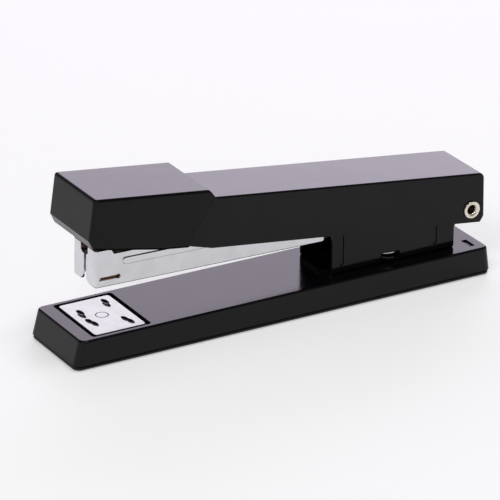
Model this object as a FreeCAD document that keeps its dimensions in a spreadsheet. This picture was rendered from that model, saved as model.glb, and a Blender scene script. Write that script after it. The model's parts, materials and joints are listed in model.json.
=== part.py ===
"""Full-strip desk stapler as an assembly of separate pieces.

Millimetres, +Z up, the stapling end towards -X and the hinge at +X. The origin is
at the middle of the base, on the surface that the stapler stands on. The magazine
and the handle are each drawn in a frame of their own: the hinge axis is its origin,
the nose points along -X, and the frame is turned about Y to its resting angle.
"""
import FreeCAD, Part
import math
import os
import re

import Sketcher
from FreeCAD import Placement, Rotation, Vector

# name, value and meaning of every driving size
SIZES = [
    ("base_length", 166.5, "base, front to rear"),
    ("base_width", 33.5, "base, side to side"),
    ("base_top", 10.8, "top face of the base above the table"),
    ("shell_foot", 1.5, "lower edge of the pressed shell"),
    ("shell_wall", 1.6, "side walls of the shell"),
    ("shell_skin", 1.2, "top of the shell"),
    ("front_lean", 2.5, "how far the front face leans in over its height"),
    ("rear_lean", 1.3, "how far the rear face leans in"),
    ("plan_round", 2.6, "corners of the base seen from above"),
    ("rim_round", 0.9, "upper edge of the base"),
    ("seam_bevel", 0.4, "bevel that makes the groove between shell and pan"),
    ("pan_floor", 0.3, "underside of the plastic pan"),
    ("pan_inset", 0.3, "pan inside the outline of the shell"),
    ("pan_rim", 4.2, "upper edge of the rim that locates the pan"),
    ("rim_wall", 1.4, "thickness of that rim"),
    ("clip_x", 77.1, "middle of the two rear clips"),
    ("clip_y", 10.4, "clips either side of the middle"),
    ("clip_slot_length", 2.2, "slot for a clip, along the base"),
    ("clip_slot_width", 6.0, "slot for a clip, across the base"),
    ("clip_play", 0.15, "clip to slot, each side"),
    ("foot_dia", 9.0, "rubber foot"),
    ("foot_height", 0.9, "rubber foot, table to the bottom of its socket"),
    ("foot_x", 72.0, "feet ahead of and behind the middle"),
    ("foot_y", 9.5, "feet either side of the middle"),
    ("anvil_x", 64.15, "anvil ahead of the middle"),
    ("anvil_length", 19.6, "anvil plate, along the base"),
    ("anvil_width", 27.2, "anvil plate, across the base"),
    ("anvil_thick", 1.0, "anvil plate"),
    ("anvil_sink", 1.1, "depth of the recess for the plate"),
    ("anvil_corner", 1.2, "corners of the plate"),
    ("recess_length", 22.6, "recess, along the base"),
    ("recess_width", 29.4, "recess, across the base"),
    ("recess_under", 2.4, "recess floor's underside below the base top"),
    ("crimp_front", 5.9, "closing grooves ahead of the stud"),
    ("crimp_rear", 5.7, "pinning grooves behind the stud"),
    ("crimp_in", 3.9, "closing grooves from the middle"),
    ("crimp_out", 7.9, "pinning grooves from the middle"),
    ("crimp_half", 2.4, "half length of one lobe of a groove"),
    ("crimp_broad", 1.1, "half breadth of a lobe"),
    ("crimp_deep", 0.65, "depth of a lobe"),
    ("lobe_step", 1.25, "lobes of a groove either side of its middle"),
    ("lobe_skew", 0.35, "how far a groove's lobes lie off its line"),
    ("stud_dia", 4.0, "anvil stud"),
    ("stud_foot", 1.4, "lower end of the stud"),
    ("stud_hole", 4.3, "hole in the base for the stud"),
    ("ring_dia", 4.7, "ring pressed round the stud's head"),
    ("ring_deep", 0.3, "depth of that ring"),
    ("button_dia", 12.0, "anvil button"),
    ("button_hole", 13.0, "hole in the pan for the button"),
    ("button_foot", 0.9, "underside of the button"),
    ("button_thick", 1.8, "rim of the button"),
    ("washer_dia", 9.2, "washer on the button"),
    ("washer_thick", 0.5, "washer on the button"),
    ("stud_spring_dia", 8.0, "anvil spring, outside"),
    ("stud_spring_wire", 0.6, "anvil spring"),
    ("pivot_x", 76.65, "hinge axis behind the middle"),
    ("pivot_z", 24.6, "hinge axis above the table"),
    ("bracket_width", 21.8, "hinge bracket, outside"),
    ("bracket_sheet", 1.0, "walls of the bracket"),
    ("bracket_floor", 1.2, "floor of the bracket"),
    ("bracket_front", 20.5, "front edge of the bracket walls"),
    ("bracket_rear", 70.6, "rear edge of the bracket walls"),
    ("bracket_tab", 2.6, "floor in front of and behind the walls"),
    ("bracket_tab_half", 8.6, "half width of those tabs"),
    ("ear_round", 4.1, "bracket round the hinge axis"),
    ("neck_round", 2.4, "hollow under the ear"),
    ("crest_round", 2.5, "front upper corner of the walls"),
    ("rib_front", 24.0, "front rib of the bracket walls"),
    ("rib_rear", 62.3, "rear rib of the bracket walls"),
    ("rib_foot", 13.6, "lower end of the ribs"),
    ("rib_width", 2.4, "pressed ribs"),
    ("rib_deep", 0.35, "pressed ribs"),
    ("window_x", 44.3, "middle of the windows at the spring"),
    ("window_length", 8.0, "windows, along the base"),
    ("window_foot", 11.9, "windows, lower edge"),
    ("window_height", 2.8, "windows"),
    ("rivet_front", 28.5, "front bracket rivets"),
    ("rivet_rear", 64.0, "rear bracket rivets"),
    ("rivet_side", 5.6, "bracket rivets from the middle"),
    ("rivet_dia", 2.6, "shank of a bracket rivet"),
    ("rivet_head", 4.6, "head of a bracket rivet"),
    ("rivet_cap", 0.8, "thickness of a rivet head"),
    ("lift_x", 48.0, "lift spring"),
    ("lift_radius", 8.1, "lift spring's wire centre at its foot"),
    ("lift_wire", 1.1, "lift spring"),
    ("pin_dia", 5.2, "hollow hinge rivet, shank"),
    ("pin_bore", 3.2, "hollow hinge rivet, bore"),
    ("pin_head", 6.4, "hollow hinge rivet, head"),
    ("pin_head_thick", 0.75, "hollow hinge rivet, head"),
    ("pin_hole", 5.3, "holes that turn on the rivet"),
    ("bush_dia", 8.0, "spacer between magazine and bracket"),
    ("side_play", 0.05, "play beside each spacer and rivet head"),
    ("rest_magazine", 1.18, "nose of the magazine up at rest, degrees"),
    ("rest_handle", 6.96, "nose of the handle up at rest, degrees"),
    ("nose_reach", 147.4, "front of the magazine from the axis"),
    ("nose_top", 10.4, "upper edge of the nose"),
    ("nose_length", 6.0, "how far the raised nose reaches back"),
    ("nose_round", 1.0, "upright outer corners of the nose"),
    ("nose_gap", 0.9, "half gap between the two nose flanges"),
    ("nose_notch", 2.5, "rounded lower corners beside the gap"),
    ("nose_mouth", 2.5, "half width of the opening over the gap"),
    ("nose_mouth_foot", 7.0, "lower edge of that opening"),
    ("channel_half", 7.9, "half width of the magazine"),
    ("channel_sheet", 0.8, "magazine sheet"),
    ("channel_bend", 0.5, "lower long edges of the magazine"),
    ("channel_foot", 2.9, "underside of the magazine below the axis"),
    ("channel_top", 8.6, "upper edge of the magazine"),
    ("step_reach", 56.8, "step in the underside, from the axis"),
    ("step_foot", 0.4, "underside behind the step, below the axis"),
    ("step_round", 1.6, "lower rear corner at the step"),
    ("lug_round", 4.0, "magazine round the hinge axis"),
    ("exit_length", 3.2, "opening in the floor behind the nose"),
    ("exit_half", 6.7, "half width of that opening"),
    ("sight_front", 145.9, "sight slot's front end from the axis"),
    ("sight_rear", 138.6, "centre of the sight slot's round end"),
    ("sight_z", 0.2, "middle of the sight slot above the axis"),
    ("sight_height", 1.3, "sight slot"),
    ("bead_front", 137.1, "front end of the long bead from the axis"),
    ("bead_rear", 62.0, "rear end of the long bead from the axis"),
    ("bead_foot", 4.1, "lower edge of the bead"),
    ("bead_top", 6.75, "upper edge of the bead"),
    ("bead_round", 1.3, "round end of the bead"),
    ("bead_proud", 0.5, "bead out of the wall"),
    ("core_front", 144.2, "front of the staple rail from the axis"),
    ("core_rear", 14.0, "rear of the rail from the axis"),
    ("core_half", 5.7, "half width of the rail"),
    ("core_top", 5.0, "upper edge of the rail"),
    ("core_step", 58.5, "step in the rail's underside from the axis"),
    ("core_rivet_front", 128.0, "front rail rivet from the axis"),
    ("core_rivet_rear", 70.0, "rear rail rivet from the axis"),
    ("strip_front", 144.4, "front of the staples from the axis"),
    ("strip_length", 50.0, "staples left in the magazine"),
    ("staple_half", 6.35, "half the crown of a staple"),
    ("staple_wire", 0.5, "thickness of a staple"),
    ("staple_top", 5.55, "crown of the staples above the axis"),
    ("staple_foot", 0.9, "points of the staples below the axis"),
    ("pusher_length", 10.0, "pusher"),
    ("pusher_top", 5.9, "top of the pusher above the axis"),
    ("web_half", 4.7, "half width of the pusher's block"),
    ("web_foot", 0.7, "underside of that block above the axis"),
    ("web_length", 4.0, "pusher's block"),
    ("rod_dia", 1.8, "pusher rod"),
    ("rod_z", 2.65, "pusher rod above the axis"),
    ("rod_rear", 17.6, "rear end of the rod from the axis"),
    ("feed_spring_dia", 3.9, "pusher spring, outside"),
    ("feed_spring_wire", 0.5, "pusher spring"),
    ("block_front", 20.0, "rod block from the axis"),
    ("block_length", 1.6, "rod block"),
    ("handle_width", 25.0, "handle, outside"),
    ("handle_sheet", 1.0, "handle sheet"),
    ("handle_top", 13.3, "top of the handle above the axis"),
    ("handle_foot", 5.0, "lower edge of the handle below the axis"),
    ("handle_front", 150.0, "front of the handle from the axis"),
    ("tail_top", 3.7, "upper rear corner of the handle behind the axis"),
    ("tail_back", 5.9, "rearmost point of the handle behind the axis"),
    ("tail_back_z", 2.2, "that point below the axis"),
    ("tail_low", 4.4, "lower rear corner of the handle behind the axis"),
    ("tail_sheet", 1.7, "rear wall of the handle, along its slope"),
    ("tail_crease", 0.9, "flat inside the handle's upper rear corner"),
    ("anvil_turns", 4.5, "turns of the spring under the anvil's stud"),
    ("lift_turns", 6.5, "turns of the spring under the magazine"),
    ("feed_turns", 28.0, "turns of the spring behind the pusher"),
    ("foot_step", 1.5, "start of the handle's lower edge behind the cap's rearmost point"),
    ("tongue_back", 9.0, "sloped front of the handle's walls under the cap"),
    ("tongue_rise", 2.0, "height of that slope"),
    ("tongue_low", 0.6, "lower edge of the handle's walls at the front"),
    ("handle_round", 0.8, "upper long edges of the handle"),
    ("tail_round", 2.2, "upper rear edge of the handle"),
    ("tail_foot", 3.0, "lower edge of the handle's rear wall above the axis"),
    ("cap_front", 153.9, "front of the cap from the axis"),
    ("cap_width", 29.6, "cap, outside"),
    ("cap_top", 16.9, "top of the cap above the axis"),
    ("cap_crest", 109.8, "rear end of the cap's top from the axis"),
    ("cap_apex", 106.5, "cap's rearmost point from the axis"),
    ("seam_foot", 115.5, "lower end of the cap's slanted seam from the axis"),
    ("seam_low", 3.3, "seam's lower end below the axis"),
    ("cap_low", 0.9, "front lower edge of the cap below the axis"),
    ("cap_roof", 1.8, "roof of the cap"),
    ("cap_fit", 0.05, "cap to handle"),
    ("cap_round", 1.1, "outer edges of the cap"),
    ("lip_bevel", 0.9, "bevel along the cap's lower side edges"),
    ("lip_height", 3.1, "bevelled lip under the cap's front"),
    ("lip_depth", 1.6, "how far that lip leans back"),
    ("front_rake", 0.3, "cap's front face leans out over its height"),
    ("cap_corner", 1.3, "upright front corners of the cap"),
    ("seam_round", 0.7, "cap's slanted rear edges"),
    ("belly_rear", 125.0, "cap's lowest stretch, rear end from the axis"),
    ("belly_rear_low", 3.2, "its height there, below the axis"),
    ("belly_mid", 134.5, "middle of the cap's lower edge from the axis"),
    ("belly_mid_low", 2.4, "its height there, below the axis"),
    ("belly_front", 147.7, "front stretch of the cap's lower edge from the axis"),
    ("belly_front_low", 1.4, "its height there, below the axis"),
    ("driver_front", 145.9, "front of the driver blade from the axis"),
    ("driver_thick", 0.8, "driver blade"),
    ("driver_width", 12.4, "driver blade"),
    ("driver_foot", 2.9, "edge of the blade below the axis when driven home"),
    ("driver_tab", 16.0, "tab that holds the blade under the roof"),
    ("driver_rivet_reach", 136.0, "blade rivets from the axis"),
    ("driver_rivet_side", 3.4, "blade rivets from the middle"),
    ("small_rivet_dia", 2.0, "shank of the small rivets"),
    ("small_rivet_head", 3.6, "head of the small rivets"),
    ("small_rivet_cap", 0.45, "thickness of those heads"),
    ("leaf_width", 15.2, "return leaf"),
    ("leaf_thick", 0.6, "return leaf"),
    ("leaf_front", 122.0, "front end of the leaf from the axis"),
    ("leaf_bend", 111.0, "where the leaf leaves the roof"),
    ("leaf_toe", 62.0, "where the leaf touches the magazine"),
    ("leaf_low", 2.6, "leaf's touching point above the axis"),
    ("leaf_tip", 57.0, "turned-up end of the leaf"),
    ("leaf_foot_rear", 1.0, "flat foot of the leaf, behind its touching point"),
    ("leaf_foot_front", 2.0, "flat foot of the leaf, ahead of its touching point"),
    ("leaf_tip_rise", 1.6, "how far the end turns up"),
    ("leaf_rivet_reach", 117.0, "leaf rivets from the axis"),
    ("leaf_rivet_side", 4.0, "leaf rivets from the middle"),
]

doc = FreeCAD.newDocument("stapler")
sheet = doc.addObject("Spreadsheet::Sheet", "Sizes")
pieces = []


def fill_sheet():
    """Writes every driving size into the sheet: name, value and meaning."""
    for row, (alias, size, meaning) in enumerate(SIZES, start=1):
        sheet.set(f"A{row}", alias)
        sheet.set(f"B{row}", str(size))
        sheet.set(f"C{row}", meaning)
        sheet.setAlias(f"B{row}", alias)
    doc.recompute()


def bound(expression):
    """The expression with every name in it read from the sheet."""
    return re.sub(r"[a-z_]+", lambda name: "Sizes." + name.group(), expression)


def size(expression):
    """The number that an expression of sheet names gives now."""
    return float(sheet.evalExpression(bound(expression)))


def base_frame():
    """Frame of the base, standing on the table."""
    return Placement()


def magazine_frame():
    """Frame on the hinge axis, turned to the magazine's resting angle."""
    return Placement(Vector(size("pivot_x"), 0, size("pivot_z")), Rotation(Vector(0, 1, 0), size("rest_magazine")))


def handle_frame():
    """Frame on the hinge axis, turned to the handle's resting angle."""
    return Placement(Vector(size("pivot_x"), 0, size("pivot_z")), Rotation(Vector(0, 1, 0), size("rest_handle")))


def hinge_frame():
    """Frame on the hinge axis, square to the base."""
    return Placement(Vector(size("pivot_x"), 0, size("pivot_z")), Rotation())


class Piece:
    """A PartDesign body whose sketches and features are bound to the sheet."""

    def __init__(self, label, placement):
        """Starts an empty body at its place."""
        self.body = doc.addObject("PartDesign::Body", label)
        self.body.Label = label
        self.body.Placement = placement
        self.count = 0
        pieces.append(self.body)

    def name(self, kind):
        """The next name for a sketch or feature of this body."""
        self.count += 1
        return f"{self.body.Name}_{kind}_{self.count}"

    def sketch(self, plane, offset="0"):
        """An empty sketch on one of the body's own planes, moved along its normal."""
        sketch = self.body.newObject("Sketcher::SketchObject", self.name("sketch"))
        origin = next(item for item in self.body.Origin.OriginFeatures if item.Role == plane + "_Plane")
        sketch.AttachmentSupport = [(origin, "")]
        sketch.MapMode = "FlatFace"
        sketch.setExpression(".AttachmentOffset.Base.z", bound(offset))
        return sketch

    def pin_point(self, sketch, element, point, place):
        """Holds a point of a sketch element at a place given by two expressions."""
        for kind, expression in zip(("DistanceX", "DistanceY"), place):
            index = sketch.addConstraint(Sketcher.Constraint(kind, -1, 1, element, point, size(expression)))
            sketch.setExpression(f"Constraints[{index}]", bound(expression))

    def outline(self, plane, places, offset="0"):
        """A closed outline of straight runs through the given places."""
        sketch = self.sketch(plane, offset)
        points = [Vector(size(x), size(y), 0) for x, y in places]
        last = len(points)
        for index in range(last):
            sketch.addGeometry(Part.LineSegment(points[index], points[(index + 1) % last]), False)
        for index in range(last):
            sketch.addConstraint(Sketcher.Constraint("Coincident", index, 2, (index + 1) % last, 1))
            self.pin_point(sketch, index, 1, places[index])
        return sketch

    def rectangle(self, plane, left, right, low, high, offset="0"):
        """A sketch of one rectangle between four expressions."""
        return self.outline(plane, [(left, low), (right, low), (right, high), (left, high)], offset)

    def rounded(self, plane, left, right, low, high, radius, offset="0"):
        """A rectangle whose corners are quarter circles of one radius."""
        sketch = self.sketch(plane, offset)
        round_size = size(radius)
        centres = [
            (f"{left} + {radius}", f"{low} + {radius}"), (f"{right} - {radius}", f"{low} + {radius}"),
            (f"{right} - {radius}", f"{high} - {radius}"), (f"{left} + {radius}", f"{high} - {radius}"),
        ]
        for quarter, centre in enumerate(centres):
            circle = Part.Circle(Vector(size(centre[0]), size(centre[1]), 0), Vector(0, 0, 1), round_size)
            start = math.pi * (1 + quarter / 2)
            sketch.addGeometry(Part.ArcOfCircle(circle, start, start + math.pi / 2), False)
        for quarter in range(4):
            end = sketch.Geometry[quarter].EndPoint
            start = sketch.Geometry[(quarter + 1) % 4].StartPoint
            sketch.addGeometry(Part.LineSegment(end, start), False)
        for quarter, centre in enumerate(centres):
            self.pin_point(sketch, quarter, 3, centre)
            limit = sketch.addConstraint(Sketcher.Constraint("Radius", quarter, round_size))
            sketch.setExpression(f"Constraints[{limit}]", bound(radius))
            sketch.addConstraint(Sketcher.Constraint("Tangent", quarter, 2, quarter + 4, 1))
            sketch.addConstraint(Sketcher.Constraint("Tangent", quarter + 4, 2, (quarter + 1) % 4, 1))
        return sketch

    def circles(self, plane, places, diameter, offset="0"):
        """Equal circles centred on the given places."""
        sketch = self.sketch(plane, offset)
        for index, place in enumerate(places):
            centre = Vector(size(place[0]), size(place[1]), 0)
            sketch.addGeometry(Part.Circle(centre, Vector(0, 0, 1), size(diameter) / 2), False)
            self.pin_point(sketch, index, 3, place)
            limit = sketch.addConstraint(Sketcher.Constraint("Diameter", index, size(diameter)))
            sketch.setExpression(f"Constraints[{limit}]", bound(diameter))
        return sketch

    def pad(self, sketch, length, middle=False, reverse=False):
        """Grows the body by a sketch's outline."""
        return self.extrude("PartDesign::Pad", sketch, length, middle, reverse)

    def pocket(self, sketch, length, middle=False, reverse=False):
        """Cuts a sketch's outline out of the body, and makes sure that it cut."""
        doc.recompute()
        before = self.body.Shape.Volume
        cut = self.extrude("PartDesign::Pocket", sketch, length, middle, reverse)
        doc.recompute()
        if self.body.Shape.Volume > before - 1e-6:
            raise RuntimeError(f"{cut.Name} cuts nothing")
        return cut

    def extrude(self, kind, sketch, length, middle, reverse):
        """A pad or pocket of a sketch, its length an expression."""
        feature = self.body.newObject(kind, self.name(kind[12:].lower()))
        feature.Profile = sketch
        feature.setExpression("Length", bound(length))
        feature.Midplane = middle
        feature.Reversed = reverse
        return feature

    def revolve(self, sketch):
        """A full turn of a sketch about its own upright axis."""
        feature = self.body.newObject("PartDesign::Revolution", self.name("turn"))
        feature.Profile = sketch
        feature.ReferenceAxis = (sketch, ["V_Axis"])
        feature.Angle = 360
        return feature

    def dent(self, x, y, z, along, across, deep, turn=0.0):
        """Presses an ellipsoid dent into the body, its length across the base."""
        doc.recompute()
        before = self.body.Shape.Volume
        dent = self.body.newObject("PartDesign::SubtractiveEllipsoid", self.name("dent"))
        for prop, expression in (("Radius1", deep), ("Radius2", along), ("Radius3", across)):
            dent.setExpression(prop, bound(expression))
        dent.Placement = Placement(Vector(size(x), size(y), size(z)), Rotation(Vector(0, 0, 1), turn))
        doc.recompute()
        if self.body.Shape.Volume > before - 1e-6:
            raise RuntimeError(f"{dent.Name} cuts nothing")

    def edges(self, chosen):
        """Names of the edges of the newest feature that a test picks."""
        doc.recompute()
        shape = self.body.Tip.Shape
        return [f"Edge{number}" for number, edge in enumerate(shape.Edges, start=1) if chosen(edge)]

    def fillet(self, radius, chosen):
        """Rounds the edges that a test picks out."""
        return self.dress("PartDesign::Fillet", "Radius", radius, chosen)

    def chamfer(self, width, chosen):
        """Bevels the edges that a test picks out."""
        return self.dress("PartDesign::Chamfer", "Size", width, chosen)

    def dress(self, kind, prop, width, chosen):
        """Adds a fillet or chamfer on the picked edges."""
        names = self.edges(chosen)
        if not names:
            raise RuntimeError(f"{self.body.Name} has no such edge")
        feature = self.body.newObject(kind, self.name(kind[12:].lower()))
        feature.Base = (feature.BaseFeature, names)
        feature.setExpression(prop, bound(width))
        return feature


def upright(edge):
    """True for a straight edge along Z."""
    box = edge.BoundBox
    return box.XLength < 1e-3 and box.YLength < 1e-3 and box.ZLength > 0.1


def along(edge, axis):
    """True for a straight edge along one axis of its piece's own frame."""
    if not isinstance(edge.Curve, (Part.Line, Part.LineSegment)):
        return False
    start, end = (vertex.Point for vertex in edge.Vertexes)
    run = end - start
    return abs(abs(getattr(run, axis)) - run.Length) < 1e-6 * max(run.Length, 1)


def near(point, x=None, y=None, z=None, reach=0.02):
    """True where the named coordinates of a point are as given; y counts either side."""
    checks = []
    if x is not None:
        checks.append(abs(point.x - x) < reach)
    if y is not None:
        checks.append(abs(abs(point.y) - y) < reach)
    if z is not None:
        checks.append(abs(point.z - z) < reach)
    return all(checks)


def middle_of(edge):
    """The middle point of an edge."""
    return edge.valueAt((edge.FirstParameter + edge.LastParameter) / 2)


def stack(label, turned, places, placement, direction=Vector(0, 0, 1)):
    """Equal turned pieces, each a stack of cylinders of (diameter, from, to).

    Every cylinder is a Part::Cylinder bound to the sheet, fused where it stands and
    copied to the given places.
    """
    members = []
    for index, (x, y) in enumerate(places):
        discs = []
        for level, (diameter, low, high) in enumerate(turned):
            disc = doc.addObject("Part::Cylinder", f"{label}_{index}_{level}")
            disc.setExpression("Radius", bound(f"({diameter}) / 2"))
            disc.setExpression("Height", bound(f"({high}) - ({low})"))
            turn = Rotation(Vector(0, 0, 1), direction)
            start = Vector(size(x), size(y), 0) + direction * size(low)
            disc.Placement = Placement(start, turn)
            discs.append(disc)
        if len(discs) == 1:
            members.append(discs[0])
            continue
        whole = doc.addObject("Part::MultiFuse", f"{label}_{index}")
        whole.Shapes = discs
        whole.Refine = True
        members.append(whole)
    group = doc.addObject("Part::Compound", label)
    group.Label = label
    group.Links = members
    group.Placement = placement
    pieces.append(group)


def coil(label, radius, wire, low, high, turns, placement, direction=Vector(0, 0, 1), top_radius=None):
    """A round-wire spring wound from low to high, with a dead turn at each end."""
    top_radius = radius if top_radius is None else top_radius
    steps = 24
    count = int(turns * steps)
    height = high - low - wire
    points = []
    for index in range(count + 1):
        part = index / count
        dead = 1.0 / turns
        rise = min(max((part - dead * 0.6) / (1 - dead * 1.2), 0), 1)
        lift = wire / 2 + height * rise
        reach = radius + (top_radius - radius) * part
        angle = 2 * math.pi * turns * part
        points.append(Vector(reach * math.cos(angle), reach * math.sin(angle), low + lift))
    path = Part.BSplineCurve()
    path.interpolate(points)
    start = path.tangent(path.FirstParameter)[0]
    section = Part.Wire(Part.Circle(points[0], start, wire / 2).toShape())
    spring = Part.Wire(path.toShape()).makePipeShell([section], True, True)
    turn = Placement(Vector(), Rotation(Vector(0, 0, 1), direction))
    spring.Placement = placement.multiply(turn)
    return spring


def make_base_shell():
    """The pressed shell of the base, leaning in at both ends, hollow underneath."""
    shell = Piece("base_shell", base_frame())
    half = "base_length / 2"
    side = shell.outline(
        "XZ",
        [
            (f"-{half}", "shell_foot"), (half, "shell_foot"), (f"{half} - rear_lean", "base_top"),
            (f"-{half} + front_lean", "base_top"),
        ],
    )
    shell.pad(side, "base_width", middle=True)
    rise = size("base_top - shell_foot")
    shell.fillet("plan_round", lambda edge: abs(edge.BoundBox.ZLength - rise) < 1e-3)
    shell.fillet("rim_round", lambda edge: near(middle_of(edge), z=size("base_top")))
    shell.chamfer("seam_bevel", lambda edge: near(middle_of(edge), z=size("shell_foot")))
    step = "-anvil_x + recess_length / 2 + shell_wall"
    side = "base_width / 2 - shell_wall"
    rear = shell.rectangle("XY", step, f"{half} - rear_lean - shell_wall", f"-({side})", side, "shell_foot")
    shell.pocket(rear, "base_top - shell_skin - shell_foot", reverse=True)
    front = shell.rectangle("XY", f"-{half} + front_lean + shell_wall", step, f"-({side})", side, "shell_foot")
    shell.pocket(front, "base_top - recess_under - shell_foot", reverse=True)
    recess = shell.rectangle(
        "XY", "-anvil_x - recess_length / 2", "-anvil_x + recess_length / 2",
        "-recess_width / 2", "recess_width / 2", "base_top",
    )
    shell.pocket(recess, "anvil_sink")
    shell.fillet("anvil_corner", lambda edge: upright(edge) and abs(edge.BoundBox.ZLength - size("anvil_sink")) < 1e-3)
    shell.pocket(shell.circles("XY", [("-anvil_x", "0")], "stud_hole", "base_top"), "recess_under")
    for side in ("-", ""):
        slot = shell.rectangle(
            "XY", "clip_x - clip_slot_length / 2", "clip_x + clip_slot_length / 2",
            f"{side}clip_y - clip_slot_width / 2", f"{side}clip_y + clip_slot_width / 2", "base_top",
        )
        shell.pocket(slot, "shell_skin + 0.5")
    shell.pocket(shell.circles("XY", bracket_rivet_places(), "rivet_dia", "base_top"), "shell_skin + 0.5")


def bracket_rivet_places():
    """Where the four rivets of the hinge bracket stand."""
    return [(x, y) for x in ("rivet_front", "rivet_rear") for y in ("-rivet_side", "rivet_side")]


def foot_places():
    """Where the four feet stand."""
    return [(x, y) for x in ("-foot_x", "foot_x") for y in ("-foot_y", "foot_y")]


def make_bottom_pan():
    """The plastic pan: a plate with a locating rim and two clips at the rear."""
    pan = Piece("bottom_pan", base_frame())
    half, side = "(base_length / 2 - pan_inset)", "(base_width / 2 - pan_inset)"
    plate = pan.rounded("XY", f"-{half}", half, f"-{side}", side, "plan_round", "pan_floor")
    pan.pad(plate, "shell_foot - pan_floor")
    pan.chamfer("seam_bevel", lambda edge: near(middle_of(edge), z=size("shell_foot")))
    pan.fillet("seam_bevel", lambda edge: near(middle_of(edge), z=size("pan_floor")))
    long = "(base_length / 2 - front_lean - shell_wall - clip_play)"
    wide = "(base_width / 2 - shell_wall - clip_play)"
    pan.pad(pan.rectangle("XY", f"-{long}", long, f"-{wide}", wide, "shell_foot"), "pan_rim - shell_foot")
    inner = pan.rectangle(
        "XY", f"-{long} + rim_wall", f"{long} - rim_wall", f"-{wide} + rim_wall", f"{wide} - rim_wall", "pan_rim",
    )
    pan.pocket(inner, "pan_rim - shell_foot")
    for sign in ("-", ""):
        clip = pan.rectangle(
            "XY", "clip_x - clip_slot_length / 2 + clip_play", "clip_x + clip_slot_length / 2 - clip_play",
            f"{sign}clip_y - clip_slot_width / 2 + clip_play", f"{sign}clip_y + clip_slot_width / 2 - clip_play",
            "shell_foot",
        )
        pan.pad(clip, "base_top - shell_skin / 2 - shell_foot")
    pan.pocket(pan.circles("XY", foot_places(), "foot_dia", "pan_floor"), "foot_height - pan_floor", reverse=True)
    pan.pocket(pan.circles("XY", [("-anvil_x", "0")], "button_hole", "shell_foot"), "shell_foot")


def make_feet():
    """Four rubber feet in the pan's sockets."""
    stack("rubber_feet", [("foot_dia", "0", "foot_height")], foot_places(), base_frame())


def make_anvil_plate():
    """The anvil plate: closing grooves at the front, pinning grooves at the rear."""
    plate = Piece("anvil_plate", base_frame())
    top = "base_top - anvil_sink + anvil_thick"
    blank = plate.rectangle(
        "XY", "-anvil_x - anvil_length / 2", "-anvil_x + anvil_length / 2", "-anvil_width / 2", "anvil_width / 2",
        "base_top - anvil_sink",
    )
    plate.pad(blank, "anvil_thick")
    plate.fillet("anvil_corner", upright)
    plate.chamfer("anvil_thick / 5", lambda edge: near(middle_of(edge), z=size(top)))
    for side in (-1, 1):
        for lobe in (-1, 1):
            skew = f"{side * lobe} * lobe_skew"
            plate.dent(
                f"-anvil_x - crimp_front + {skew}", f"{side} * crimp_in + {lobe} * lobe_step", top,
                "crimp_broad", "crimp_half", "crimp_deep",
            )
            plate.dent(
                f"-anvil_x + crimp_rear + {skew}", f"{side} * crimp_out + {lobe} * lobe_step", top,
                "crimp_broad", "crimp_half", "crimp_deep",
            )
    ring = plate.circles("XY", [("-anvil_x", "0")], "ring_dia", top)
    plate.pocket(ring, "ring_deep")
    plate.pocket(plate.circles("XY", [("-anvil_x", "0")], "stud_dia", top), "anvil_thick")


def make_anvil_fittings():
    """Stud, washer, button and spring that hold the anvil down and let it be lifted."""
    centre = [("-anvil_x", "0")]
    top = "base_top - anvil_sink + anvil_thick"
    stack("anvil_stud", [("stud_dia", "stud_foot", top)], centre, base_frame())
    hub = "button_foot + button_thick"
    button = Piece("anvil_button", base_frame())
    button.pad(button.circles("XY", centre, "button_dia", "button_foot"), "button_thick")
    button.fillet("seam_bevel", lambda edge: near(middle_of(edge), z=size("button_foot")))
    button.pocket(button.circles("XY", centre, "stud_dia", hub), "button_foot + button_thick - stud_foot")
    washer = Piece("anvil_washer", base_frame())
    washer.pad(washer.circles("XY", centre, "washer_dia", hub), "washer_thick")
    washer.pocket(washer.circles("XY", centre, "stud_dia", f"{hub} + washer_thick"), "washer_thick")
    wire = size("stud_spring_wire")
    spring = coil(
        "anvil_spring", (size("stud_spring_dia") - wire) / 2, wire, size(f"{hub} + washer_thick"),
        size("base_top - recess_under"), size("anvil_turns"), Placement(Vector(-size("anvil_x"), 0, 0), Rotation()),
    )
    keep_coil("anvil_spring", spring)


def keep_coil(label, spring):
    """Files a spring whose shape already stands where it belongs."""
    feature = doc.addObject("Part::Feature", label)
    feature.Label = label
    feature.Shape = spring
    pieces.append(feature)


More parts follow.
